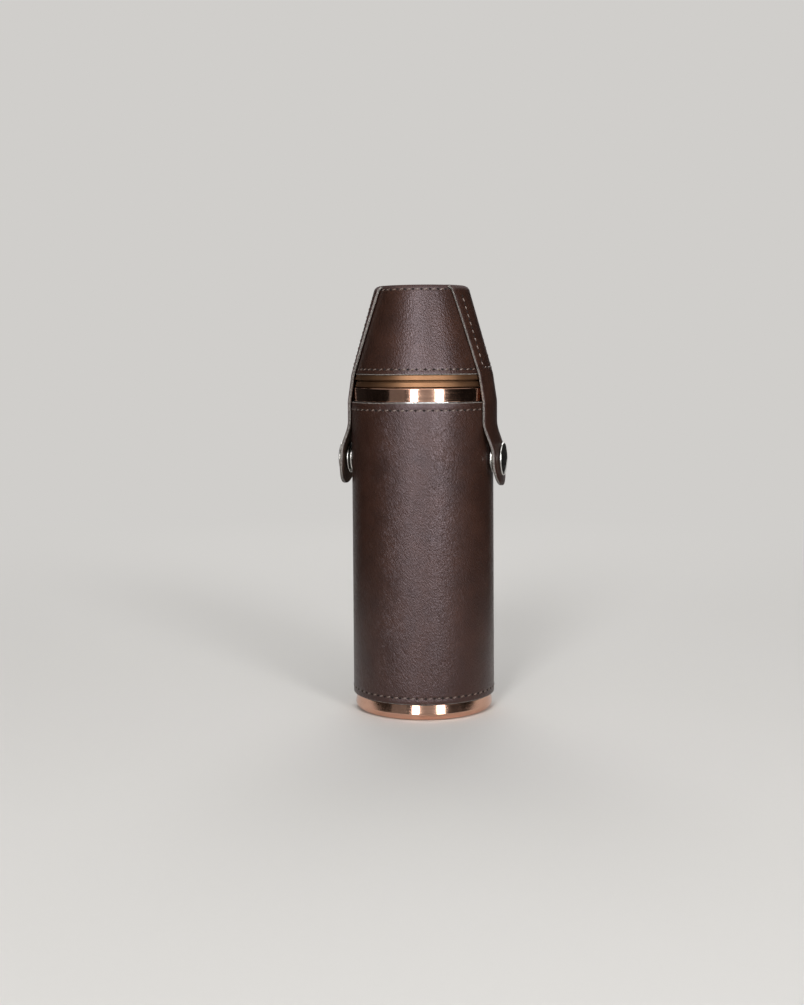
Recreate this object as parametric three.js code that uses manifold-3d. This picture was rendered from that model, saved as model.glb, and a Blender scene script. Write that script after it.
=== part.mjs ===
import * as THREE from 'three';
import { mergeVertices } from 'three/addons/utils/BufferGeometryUtils.js';
import Module from 'manifold-3d';

// Leather-covered hunter flask: a round vessel with a screw stopper, two nested cups upside down
// over the stopper, and a leather hood whose strap ends are held to the body by press studs.
// Millimetres, +Z up, standing on z = 0 with its axis at the origin. The strap runs along X.

// Clearance between pieces that touch on the real flask
const fit = 0.3;

// Vessel: a tube closed by a pressed base pan and a pressed shoulder
const tubeRadius = 25.4;
const tubeWall = 0.6;
const vesselHeight = 122.7;
const pressedWall = 0.5;
const baseBandHeight = 5.8;
const baseCornerRadius = 2.2;
const baseFootWidth = 4;
const baseRecess = 1.2;
const collarBandHeight = 5.1;
const collarCornerRadius = 0.5;
const shelfWidth = 3.4;
const shoulderRise = 3.5;

// Neck and its screw thread
const neckBoreRadius = 7.5;
const neckWall = 1.1;
const neckHeight = 10.5;
const neckFlangeReach = 3;
const neckFlangeThickness = 1.2;
const neckSpigotLength = 2;
const threadPitch = 3;
const threadDepth = 0.8;
const threadRootWidth = 1.5;
const threadCrestWidth = 0.7;
const threadStart = 1.9;

// Stopper: grip shell, threaded liner and sealing washer
const washerThickness = 1.5;
const linerWall = 1.3;
const linerTop = 1.2;
const shellWall = 0.9;
const shellTop = 0.8;
const fluteCount = 24;
const fluteDepth = 0.5;
const shellEdge = 0.5;

// Two equal cups, upside down
const cupHeight = 32.5;
const cupBaseRadius = 15.5;
const cupWall = 0.4;
const cupBaseThickness = 0.5;
const cupBaseCorner = 1.5;
const cupBeadRadius = 0.6;
const cupRimSetback = 0.6;

// Leather
const sleeveThickness = 1.3;
const sleeveSeamWidth = 0.4;
const hoodThickness = 1.1;
const hoodEdgeLift = 0.9;
const hoodEdgeRound = 0.5;
const strapWidth = 20;
const strapThickness = 1.2;
const strapBend = 2.4;
const strapTipFlare = 0.4;

// Press studs, set along X, below the top of the vessel
const snapDrop = 27.2;
const strapLiftRun = 8.7;
const postFlangeRadius = 4;
const postFlangeThickness = 0.4;
const postRadius = 1.2;
const studFlangeRadius = 5;
const studFlangeThickness = 0.5;
const studHeadRadius = 2.2;
const studHeadHeight = 1;
const studWall = 0.5;
const socketRadius = 5.8;
const socketThickness = 0.8;
const capRadius = 6.2;
const capEdgeHeight = 0.5;
const capDomeHeight = 0.9;

// Fineness of the round shapes
const roundSteps = 40;
const neckSteps = 32;
const fastenerSteps = 20;
const cornerSteps = 3;
const threadStepsPerTurn = 20;
const strapRoundSteps = 80;
const strapProfileSteps = 12;
const pointsPerFlute = 4;

const copper = { color: 0xc48d72, roughness: 0.12, metalness: 1 };
const steel = { color: 0xb9babb, roughness: 0.25, metalness: 1 };
const nickel = { color: 0xc9c8c4, roughness: 0.2, metalness: 1 };
const leather = { color: 0x3c2a25, roughness: 0.55, metalness: 0 };
const rubber = { color: 0x26241f, roughness: 0.8, metalness: 0 };

const wasm = await Module();
wasm.setup();

function bareGeometry(geometry) {
  const bare = geometry.clone();
  bare.deleteAttribute('normal');
  bare.deleteAttribute('uv');
  return mergeVertices(bare);
}

function toSolid(geometry) {
  const merged = bareGeometry(geometry);
  const corners = Array.from(merged.index.array);
  const kept = [];
  for (let i = 0; i < corners.length; i += 3) {
    const [a, b, c] = corners.slice(i, i + 3);
    if (a !== b && b !== c && c !== a) {
      kept.push(a, b, c);
    }
  }
  const vertProperties = new Float32Array(merged.getAttribute('position').array);
  const triVerts = new Uint32Array(kept);
  return new wasm.Manifold(new wasm.Mesh({ numProp: 3, vertProperties, triVerts }));
}

function toGeometry(solid) {
  const mesh = solid.getMesh();
  const geometry = new THREE.BufferGeometry();
  geometry.setAttribute('position', new THREE.BufferAttribute(mesh.vertProperties, 3));
  geometry.setIndex(new THREE.BufferAttribute(mesh.triVerts, 1));
  return geometry;
}

// Points of an arc in a half-section, angles in degrees from the outward direction
function arc(centreRadius, centreHeight, radius, from, to) {
  const points = [];
  for (let i = 0; i <= cornerSteps; i += 1) {
    const angle = THREE.MathUtils.degToRad(from + (to - from) * i / cornerSteps);
    points.push([centreRadius + radius * Math.cos(angle), centreHeight + radius * Math.sin(angle)]);
  }
  return points;
}

// A body turned about Z from a half-section of [radius, height] points, listed anticlockwise
function turned(section, steps = roundSteps) {
  const points = section.map(([radius, height]) => new THREE.Vector2(radius, height));
  if (section[0][0] > 0) {
    points.push(points[0].clone());
  }
  return new THREE.LatheGeometry(points, steps).rotateX(Math.PI / 2);
}

// A small fastener turned about the X direction, at the height of the press studs
function turnedAcross(section) {
  const points = section.map(([radius, reach]) => new THREE.Vector2(radius, reach));
  if (section[0][0] > 0) {
    points.push(points[0].clone());
  }
  const geometry = new THREE.LatheGeometry(points, fastenerSteps).rotateZ(-Math.PI / 2);
  return geometry.translate(0, 0, snapHeight);
}

function block(low, high) {
  const size = high.map((value, i) => value - low[i]);
  const centre = high.map((value, i) => (value + low[i]) / 2);
  return new THREE.BoxGeometry(...size).translate(...centre);
}

// A straight trapezoid bar wound into a helix; it stands out from the root radius by the reach
function threadRidge(rootRadius, reach, startHeight, turns) {
  const sunkRadius = rootRadius - Math.sign(reach) * fit;
  const section = new THREE.Shape([
    new THREE.Vector2(-threadRootWidth / 2, sunkRadius),
    new THREE.Vector2(threadRootWidth / 2, sunkRadius),
    new THREE.Vector2(threadCrestWidth / 2, rootRadius + reach),
    new THREE.Vector2(-threadCrestWidth / 2, rootRadius + reach),
  ]);
  const steps = Math.round(turns * threadStepsPerTurn);
  const bar = new THREE.ExtrudeGeometry(section, { depth: 1, steps, bevelEnabled: false });
  const place = bar.getAttribute('position');
  for (let i = 0; i < place.count; i += 1) {
    const woundTurns = place.getZ(i) * turns;
    const angle = woundTurns * 2 * Math.PI;
    const radius = place.getY(i);
    const height = startHeight + place.getX(i) + woundTurns * threadPitch;
    place.setXYZ(i, radius * Math.cos(angle), radius * Math.sin(angle), height);
  }
  return bar;
}

function addPiece(parent, name, geometry, finish) {
  const mesh = new THREE.Mesh(geometry, new THREE.MeshStandardMaterial(finish));
  mesh.name = name;
  parent.add(mesh);
}

// Vessel sizes that follow from the driving dimensions
const bandInnerRadius = tubeRadius + fit;
const bandRadius = bandInnerRadius + pressedWall;
const sleeveRadius = tubeRadius + fit + sleeveThickness;
const sleeveBottom = baseBandHeight + fit;
const collarBottom = vesselHeight - collarBandHeight;
const sleeveTop = collarBottom - fit;
const snapHeight = vesselHeight - snapDrop;

// Cutting shapes run this far, past every outer face
const beyond = 2 * sleeveRadius;

function basePan() {
  const cornerRadius = bandRadius - baseCornerRadius;
  const footInner = cornerRadius - baseFootWidth;
  const bendShift = pressedWall * Math.tan(Math.PI / 8);
  return turned([
    [0, baseRecess],
    [footInner - baseRecess, baseRecess],
    [footInner, 0],
    ...arc(cornerRadius, baseCornerRadius, baseCornerRadius, -90, 0),
    [bandRadius, baseBandHeight],
    [bandInnerRadius, baseBandHeight],
    ...arc(cornerRadius, baseCornerRadius, baseCornerRadius - pressedWall, 0, -90),
    [footInner + bendShift, pressedWall],
    [footInner - baseRecess + bendShift, baseRecess + pressedWall],
    [0, baseRecess + pressedWall],
  ]);
}

function bodyTube() {
  const top = vesselHeight - pressedWall - fit;
  const innerRadius = tubeRadius - tubeWall;
  return turned([
    [innerRadius, baseCornerRadius],
    [tubeRadius, baseCornerRadius],
    [tubeRadius, top],
    [innerRadius, top],
  ]);
}

const neckRadius = neckBoreRadius + neckWall;
const neckSeat = vesselHeight + shoulderRise;
const neckFlangeRadius = neckRadius + neckFlangeReach;
const neckFlangeTop = neckSeat + fit + neckFlangeThickness;
const neckTop = neckFlangeTop + neckHeight;
const threadFoot = neckFlangeTop + threadStart;
const threadTurns = (neckHeight - 2 * threadStart) / threadPitch;

// The bead of the lower cup stands on the flat shelf around the shoulder
const beadOuterRadius = bandRadius - cupRimSetback;
const beadCentreRadius = beadOuterRadius - cupBeadRadius;
const cupMouthRadius = beadCentreRadius - cupBeadRadius + cupWall / 2;
const shelfInnerRadius = bandRadius - shelfWidth;

function shoulder() {
  const holeRadius = neckRadius + fit;
  const seatRadius = neckFlangeRadius + fit;
  return turned([
    [bandInnerRadius, collarBottom],
    [bandRadius, collarBottom],
    ...arc(bandRadius - collarCornerRadius, vesselHeight - collarCornerRadius, collarCornerRadius, 0, 90),
    [shelfInnerRadius, vesselHeight],
    [seatRadius, neckSeat],
    [holeRadius, neckSeat],
    [holeRadius, neckSeat - pressedWall],
    [seatRadius, neckSeat - pressedWall],
    [shelfInnerRadius, vesselHeight - pressedWall],
    [bandInnerRadius, vesselHeight - pressedWall],
  ]);
}

function neck() {
  const tube = toSolid(turned([
    [neckBoreRadius, neckSeat - neckSpigotLength],
    [neckRadius, neckSeat - neckSpigotLength],
    [neckRadius, neckSeat + fit],
    [neckFlangeRadius, neckSeat + fit],
    [neckFlangeRadius, neckFlangeTop],
    [neckRadius, neckFlangeTop],
    [neckRadius, neckTop],
    [neckBoreRadius, neckTop],
  ], neckSteps));
  const ridge = toSolid(threadRidge(neckRadius, threadDepth, threadFoot, threadTurns));
  return toGeometry(tube.add(ridge));
}

// Stopper sizes, from the neck outwards and upwards
const linerBoreRadius = neckRadius + threadDepth + fit;
const linerRadius = linerBoreRadius + linerWall;
const stopperBottom = neckFlangeTop + fit;
const washerBottom = neckTop + fit;
const washerTop = washerBottom + washerThickness;
const linerInnerTop = washerTop + fit;
const linerOuterTop = linerInnerTop + linerTop;
const shellBoreRadius = linerRadius + fit;
const shellInnerTop = linerOuterTop + fit;
const stopperTop = shellInnerTop + shellTop;

function stopperLiner() {
  const cap = toSolid(turned([
    [0, linerInnerTop],
    [linerBoreRadius, linerInnerTop],
    [linerBoreRadius, stopperBottom],
    [linerRadius, stopperBottom],
    [linerRadius, linerOuterTop],
    [0, linerOuterTop],
  ], neckSteps));
  const ridgeFoot = threadFoot + threadPitch / 2;
  const ridge = toSolid(threadRidge(linerBoreRadius, -threadDepth, ridgeFoot, threadTurns - 1 / 2));
  return toGeometry(cap.add(ridge));
}

function sealWasher() {
  const radius = linerBoreRadius - fit;
  const section = [[0, washerBottom], [radius, washerBottom], [radius, washerTop], [0, washerTop]];
  return turned(section, neckSteps);
}

function stopperShell() {
  const outline = new THREE.Shape();
  const pointCount = fluteCount * pointsPerFlute;
  const gripRadius = shellBoreRadius + shellWall + fluteDepth / 2 - shellEdge;
  for (let i = 0; i < pointCount; i += 1) {
    const angle = i / pointCount * 2 * Math.PI;
    const radius = gripRadius + fluteDepth / 2 * Math.cos(fluteCount * angle);
    const corner = [radius * Math.cos(angle), radius * Math.sin(angle)];
    if (i === 0) {
      outline.moveTo(...corner);
    } else {
      outline.lineTo(...corner);
    }
  }
  const grip = new THREE.ExtrudeGeometry(outline, {
    depth: stopperTop - stopperBottom - 2 * shellEdge,
    bevelThickness: shellEdge,
    bevelSize: shellEdge,
    bevelSegments: 1,
  });
  grip.translate(0, 0, stopperBottom + shellEdge);
  const bore = turned([
    [0, stopperBottom - shellTop],
    [shellBoreRadius, stopperBottom - shellTop],
    [shellBoreRadius, shellInnerTop],
    [0, shellInnerTop],
  ], neckSteps);
  return toGeometry(toSolid(grip).subtract(toSolid(bore)));
}

// Cup cone: nested cups sit apart by the wall and the clearance, measured square to the cone
const coneSlope = (cupMouthRadius - cupBaseRadius) / cupHeight;
const coneAngle = Math.atan(coneSlope);
const cupPitch = (cupWall + fit) / Math.sin(coneAngle);
const lowerCupMouth = vesselHeight + fit;
const upperCupMouth = lowerCupMouth + cupPitch;
const upperCupTop = upperCupMouth + cupHeight;

// Radius at a height of the upper cup's outer cone, moved outwards square to it
function coneRadius(height, outwards) {
  return cupMouthRadius - (height - upperCupMouth) * coneSlope + outwards / Math.cos(coneAngle);
}

function cup(mouth) {
  const top = mouth + cupHeight;
  const wallAcross = cupWall / Math.cos(coneAngle);
  const beadTop = mouth + 2 * cupBeadRadius;
  const outerAt = (height) => cupMouthRadius - (height - mouth) * coneSlope;
  const innerTop = top - cupBaseThickness;
  const cornerFoot = top - cupBaseCorner;
  const corner = arc(outerAt(cornerFoot) - cupBaseCorner, cornerFoot, cupBaseCorner, 0, 90);
  return turned([
    [0, innerTop],
    [outerAt(cornerFoot) - cupBaseCorner, innerTop],
    [outerAt(cornerFoot) - wallAcross, cornerFoot],
    [outerAt(mouth) - wallAcross, mouth],
    ...arc(beadCentreRadius, mouth + cupBeadRadius, cupBeadRadius, -90, 90),
    [outerAt(beadTop), beadTop],
    ...corner,
    [0, top],
  ]);
}

// Hood sizes: the panel follows the upper cup, and the strap lies flush in notches of its rim
const hoodBottom = upperCupMouth + 2 * cupBeadRadius + hoodEdgeLift;
const hoodOutwards = fit + hoodThickness;
const hoodTopLow = upperCupTop + fit;
const hoodTopHigh = hoodTopLow + hoodThickness;
const strapTopLow = hoodTopHigh + fit;
const hoodRim = strapTopLow + strapThickness;

// A closed cap below a cone and a flat top with a rounded corner between them
function coneEnvelope(outwards, top, bend) {
  const cornerFoot = top - bend;
  const cornerRadius = coneRadius(cornerFoot, outwards) - bend;
  const foot = hoodBottom - hoodThickness;
  return turned([
    [0, foot],
    [coneRadius(foot, outwards), foot],
    ...arc(cornerRadius, cornerFoot, bend, 0, 90),
    [0, top],
  ], strapRoundSteps);
}

function hoodPanel() {
  const rimFoot = hoodRim - hoodEdgeRound;
  const wall = toSolid(turned([
    [coneRadius(hoodBottom, fit), hoodBottom],
    [coneRadius(hoodBottom, hoodOutwards), hoodBottom],
    ...arc(coneRadius(rimFoot, hoodOutwards) - hoodEdgeRound, rimFoot, hoodEdgeRound, 0, 90),
    [coneRadius(hoodRim, fit), hoodRim],
  ]));
  const halfNotch = strapWidth / 2 + fit;
  const notchLow = hoodTopHigh - strapBend;
  const strip = block([-beyond, -halfNotch, notchLow], [beyond, halfNotch, hoodRim + strapBend]);
  const seat = coneEnvelope(hoodOutwards + fit, hoodTopHigh, strapBend - strapThickness);
  return toGeometry(wall.subtract(toSolid(strip).subtract(toSolid(seat))));
}

function hoodTop() {
  const lowRadius = coneRadius(hoodTopLow, 0);
  const highRadius = coneRadius(hoodTopHigh, 0);
  return turned([[0, hoodTopLow], [lowRadius, hoodTopLow], [highRadius, hoodTopHigh], [0, hoodTopHigh]]);
}

function strapOverHood() {
  const inner = coneEnvelope(hoodOutwards + fit, strapTopLow, strapBend - strapThickness);
  const outer = coneEnvelope(hoodOutwards + fit + strapThickness, hoodRim, strapBend);
  const half = strapWidth / 2;
  const strip = block([-beyond, -half, hoodBottom], [beyond, half, hoodRim + strapBend]);
  return toGeometry(toSolid(outer).subtract(toSolid(inner)).intersect(toSolid(strip)));
}

// Press stud reaches, outwards along X from the axis of the flask
const postFlangeInner = tubeRadius + fit;
const postFlangeOuter = postFlangeInner + postFlangeThickness;
const postHoleRadius = postRadius + fit;
const studFoot = sleeveRadius + fit;
const studFlangeTop = studFoot + studFlangeThickness;
const studTop = studFlangeTop + studHeadHeight;
const studBoreTop = studTop - studWall;
const socketFoot = studFlangeTop + fit;
const socketTop = socketFoot + socketThickness;

// The free strap end leaves the hood, lies on the sleeve, and lifts over the socket of the press stud
const strapEndTop = hoodBottom - fit;
const strapTip = snapHeight - strapWidth / 2;
const strapBreakRadius = coneRadius(strapEndTop, hoodOutwards + fit);
const strapGripRadius = sleeveRadius + fit;
const strapSnapRadius = Math.hypot(socketTop + fit, socketRadius);
const strapLiftStart = snapHeight + socketRadius + strapLiftRun;
const strapLiftLength = 3 / 2 * strapLiftRun;

function strapInnerRadius(height) {
  const down = THREE.MathUtils.clamp((strapEndTop - height) / (strapEndTop - sleeveTop), 0, 1);
  const resting = THREE.MathUtils.lerp(strapBreakRadius, strapGripRadius, down);
  const lift = THREE.MathUtils.smoothstep(strapLiftStart - height, 0, strapLiftLength);
  const flare = strapTipFlare * Math.max(0, (snapHeight - height) / (snapHeight - strapTip));
  return resting + (strapSnapRadius - strapGripRadius) * lift + flare;
}

function strapEndEnvelope(outwards) {
  const low = strapTip - strapThickness;
  const high = strapEndTop + strapThickness;
  const section = [[0, low]];
  for (let i = 0; i <= strapProfileSteps; i += 1) {
    const height = THREE.MathUtils.lerp(low, high, i / strapProfileSteps);
    section.push([strapInnerRadius(height) + outwards, height]);
  }
  section.push([0, high]);
  return turned(section, strapRoundSteps);
}

// Outline of the strap end, drawn in the Y-Z plane and pushed out along X
function strapEndOutline() {
  const half = strapWidth / 2;
  const outline = new THREE.Shape();
  outline.moveTo(half, strapEndTop);
  outline.lineTo(-half, strapEndTop);
  outline.lineTo(-half, snapHeight);
  outline.absarc(0, snapHeight, half, Math.PI, 2 * Math.PI);
  const options = { depth: beyond, bevelEnabled: false, curveSegments: fastenerSteps };
  const plate = new THREE.ExtrudeGeometry(outline, options);
  return plate.rotateX(Math.PI / 2).rotateZ(Math.PI / 2);
}

function strapEnd() {
  const band = toSolid(strapEndEnvelope(strapThickness)).subtract(toSolid(strapEndEnvelope(0)));
  const hole = turnedAcross([[0, 0], [postHoleRadius, 0], [postHoleRadius, beyond], [0, beyond]]);
  return toGeometry(band.intersect(toSolid(strapEndOutline())).subtract(toSolid(hole)));
}

function bodySleeve() {
  const ring = toSolid(turned([
    [bandInnerRadius, sleeveBottom],
    [sleeveRadius, sleeveBottom],
    [sleeveRadius, sleeveTop],
    [bandInnerRadius, sleeveTop],
  ]));
  const halfSeam = sleeveSeamWidth / 2;
  const seam = block([-halfSeam, 0, 0], [halfSeam, beyond, vesselHeight]);
  const pocketRadius = postFlangeRadius + fit;
  const pocketTop = postFlangeOuter + fit;
  const pocket = turnedAcross([
    [0, 0],
    [pocketRadius, 0],
    [pocketRadius, pocketTop],
    [postHoleRadius, pocketTop],
    [postHoleRadius, beyond],
    [0, beyond],
  ]);
  const farPocket = pocket.clone().rotateZ(Math.PI);
  return toGeometry(ring.subtract(toSolid(seam)).subtract(toSolid(pocket)).subtract(toSolid(farPocket)));
}

function snapPost() {
  return turnedAcross([
    [0, postFlangeInner],
    [postFlangeRadius, postFlangeInner],
    [postFlangeRadius, postFlangeOuter],
    [postRadius, postFlangeOuter],
    [postRadius, studBoreTop - fit],
    [0, studBoreTop - fit],
  ]);
}

function snapStud() {
  return turnedAcross([
    [0, studBoreTop],
    [postHoleRadius, studBoreTop],
    [postHoleRadius, studFoot],
    [studFlangeRadius, studFoot],
    [studFlangeRadius, studFlangeTop],
    [studHeadRadius - fit, studFlangeTop],
    [studHeadRadius, studFlangeTop + studHeadHeight / 2],
    [studHeadRadius - fit, studTop],
    [0, studTop],
  ]);
}

function snapSocket() {
  const holeRadius = studHeadRadius + fit;
  return turnedAcross([
    [holeRadius, socketFoot],
    [socketRadius, socketFoot],
    [socketRadius, socketTop],
    [holeRadius, socketTop],
  ]);
}

function snapCap() {
  const foot = strapInnerRadius(snapHeight) + strapThickness + fit;
  const section = [
    [0, socketTop + fit],
    [postRadius, socketTop + fit],
    [postRadius, foot],
    [capRadius, foot],
  ];
  for (let i = 0; i <= cornerSteps; i += 1) {
    const inwards = i / cornerSteps;
    const rise = capDomeHeight * inwards * (2 - inwards);
    section.push([capRadius * (1 - inwards), foot + capEdgeHeight + rise]);
  }
  return turnedAcross(section);
}

const flask = new THREE.Group();
addPiece(flask, 'base_pan', basePan(), copper);
addPiece(flask, 'body_tube', bodyTube(), steel);
addPiece(flask, 'shoulder', shoulder(), copper);
addPiece(flask, 'neck', neck(), steel);
addPiece(flask, 'body_sleeve', bodySleeve(), leather);
addPiece(flask, 'seal_washer', sealWasher(), rubber);
addPiece(flask, 'stopper_liner', stopperLiner(), steel);
addPiece(flask, 'stopper_shell', stopperShell(), copper);
addPiece(flask, 'lower_cup', cup(lowerCupMouth), copper);
addPiece(flask, 'upper_cup', cup(upperCupMouth), copper);
addPiece(flask, 'hood_panel', hoodPanel(), leather);
addPiece(flask, 'hood_top', hoodTop(), leather);
addPiece(flask, 'strap_over_hood', strapOverHood(), leather);

for (const [side, turn] of [['right', 0], ['left', Math.PI]]) {
  const fastening = new THREE.Group();
  fastening.rotation.z = turn;
  addPiece(fastening, `snap_post_${side}`, snapPost(), nickel);
  addPiece(fastening, `snap_stud_${side}`, snapStud(), nickel);
  addPiece(fastening, `snap_socket_${side}`, snapSocket(), nickel);
  addPiece(fastening, `snap_cap_${side}`, snapCap(), nickel);
  addPiece(fastening, `strap_end_${side}`, strapEnd(), leather);
  flask.add(fastening);
}

export default flask;
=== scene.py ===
# %% [markdown]
# A leather-covered hunter flask.
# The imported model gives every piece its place, and this lesson gives every piece its looks.
# Each step says what a piece is on the real flask, how it could be made in Blender, and why it is made
# the way it is. Shapes are worked out in millimetres and become metres when their vertices are made, and
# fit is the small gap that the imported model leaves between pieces.

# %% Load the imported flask
from math import atan, atan2, copysign, cos, degrees, hypot, pi, radians, sin, sqrt

import bmesh
import bpy
from mathutils import Matrix, Vector


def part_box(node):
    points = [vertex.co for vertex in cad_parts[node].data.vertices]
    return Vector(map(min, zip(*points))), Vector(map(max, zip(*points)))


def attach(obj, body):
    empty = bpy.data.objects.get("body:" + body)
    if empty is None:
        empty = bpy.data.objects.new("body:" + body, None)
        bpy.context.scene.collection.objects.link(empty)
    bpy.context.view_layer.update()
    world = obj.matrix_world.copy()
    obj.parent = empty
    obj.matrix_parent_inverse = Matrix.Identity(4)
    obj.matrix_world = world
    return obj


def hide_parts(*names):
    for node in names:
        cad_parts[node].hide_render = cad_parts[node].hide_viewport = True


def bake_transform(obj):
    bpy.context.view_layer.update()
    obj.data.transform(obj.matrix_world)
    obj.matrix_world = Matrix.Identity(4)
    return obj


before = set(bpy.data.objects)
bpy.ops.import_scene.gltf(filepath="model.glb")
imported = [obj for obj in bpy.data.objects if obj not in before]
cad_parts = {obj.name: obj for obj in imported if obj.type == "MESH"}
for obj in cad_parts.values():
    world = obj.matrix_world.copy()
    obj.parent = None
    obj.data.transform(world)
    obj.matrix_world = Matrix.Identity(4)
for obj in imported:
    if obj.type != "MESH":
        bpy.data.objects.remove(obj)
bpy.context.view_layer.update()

mm = 0.001
fit = 0.3


def low(node):
    """Lowest corner of a node, in millimetres."""
    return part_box(node)[0] / mm


def high(node):
    """Highest corner of a node, in millimetres."""
    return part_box(node)[1] / mm


def upright(node):
    """Bottom, top and radius of a node that is round about Z."""
    return low(node).z, high(node).z, high(node).x


# %% [markdown]
# The camera comes first, because every later choice is judged through it.
# The flask is seen from a little right of its front and a little above the cup rims, so the body's rings
# sag towards the base. A camera could be aimed with a constraint, but turning a matrix step by step keeps
# the slight roll of a hand-held shot. The lens shift only slides the picture and makes no upright line lean.

# %% Camera
def new_object(name, data):
    """Adds an object to the scene."""
    thing = bpy.data.objects.new(name, data)
    bpy.context.collection.objects.link(thing)
    return thing


camera_azimuth = 14.0
camera_distance = 563.3
camera_height = 135.3
camera_turn = 0.8
camera_pitch = 3.0
camera_roll = 0.37
picture_height = 1005
focal_pixels = 1474
axis_row = 431.25

camera_data = bpy.data.cameras.new("camera")
camera_data.sensor_width = 36
camera_data.lens = camera_data.sensor_width * focal_pixels / picture_height
camera_data.shift_y = (axis_row - picture_height / 2) / picture_height
camera_data.clip_start = 0.01
camera = new_object("camera", camera_data)
azimuth = radians(camera_azimuth)
stand = Vector((sin(azimuth) * camera_distance, -cos(azimuth) * camera_distance, camera_height)) * mm
camera.matrix_world = (
    Matrix.Translation(stand)
    @ Matrix.Rotation(radians(camera_azimuth + camera_turn), 4, "Z")
    @ Matrix.Rotation(radians(90 - camera_pitch), 4, "X")
    @ Matrix.Rotation(radians(-camera_roll), 4, "Z")
)
bpy.context.scene.camera = camera
print("camera lens:", round(camera_data.lens, 1), "mm, shift:", round(camera_data.shift_y, 3))

# %% [markdown]
# Finishes are node trees, and two small helpers keep them short to read.
# One turns a colour picked as an sRGB hex value into the linear numbers that a shader works with.
# The other adds a node, sets its properties, and fills each input with a value or links it to another node.
# Patterns read Object coordinates or a UV map, both in metres here, so a scale is one over a real size.

# %% Helpers for finishes
def linear(hex_colour):
    """An sRGB hex colour as linear RGBA."""
    parts = [int(hex_colour[i:i + 2], 16) / 255 for i in (1, 3, 5)]
    return [c / 12.92 if c <= 0.04045 else ((c + 0.055) / 1.055) ** 2.4 for c in parts] + [1.0]


def add(tree, kind, inputs=None, **settings):
    """Adds one node with its settings; an input takes a value, a socket, or a node for its first output."""
    node = tree.nodes.new("ShaderNode" + kind)
    for name, value in settings.items():
        setattr(node, name, value)
    for socket, value in (inputs or {}).items():
        if isinstance(value, bpy.types.Node):
            value = next(output for output in value.outputs if output.enabled)
        if isinstance(value, bpy.types.NodeSocket):
            tree.links.new(value, node.inputs[socket])
        else:
            node.inputs[socket].default_value = value
    return node


def per(size):
    """Pattern scale for a feature of that size in millimetres."""
    return 1 / (size * mm)


def new_finish(name):
    """An empty material, with its tree and its Object coordinates."""
    finish = bpy.data.materials.new(name)
    finish.use_nodes = True
    finish.node_tree.nodes.clear()
    place = add(finish.node_tree, "TexCoord").outputs["Object"]
    return finish, finish.node_tree, place


def close_finish(finish, tree, inputs):
    """Ends a material in one Principled shader."""
    shader = add(tree, "BsdfPrincipled", inputs)
    add(tree, "OutputMaterial", {"Surface": shader})
    print("finish:", finish.name, "with", len(tree.nodes), "nodes")
    return finish


# %% [markdown]
# The cover is dark brown calf leather, finished smooth and a little waxed.
# Up close it has a pebble grain that leans one way, and where it is drawn round the body it has thin steep
# creases. Grain could be modelled, but there are too many cells for a mesh, so they are bump from a Voronoi
# pattern. Real calf cells are nearer a third of a millimetre, and they are drawn half as coarse again, so
# that they show. Creases are noise stretched along the same slanted direction, deeper in some patches, and
# the leather of the hood has hardly any.
# Both read a UV map in metres, the flat sheet that the piece was cut from, so the grain leans the same way
# all round. The wax gives a wide soft sheen, which comes from middling roughness broken up by the grain.
# Towards the top of the hood the wax is rubbed off, so the roughness rises with the height there.

# %% Brown calf leather
sheet_map = "flat_sheet"


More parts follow.
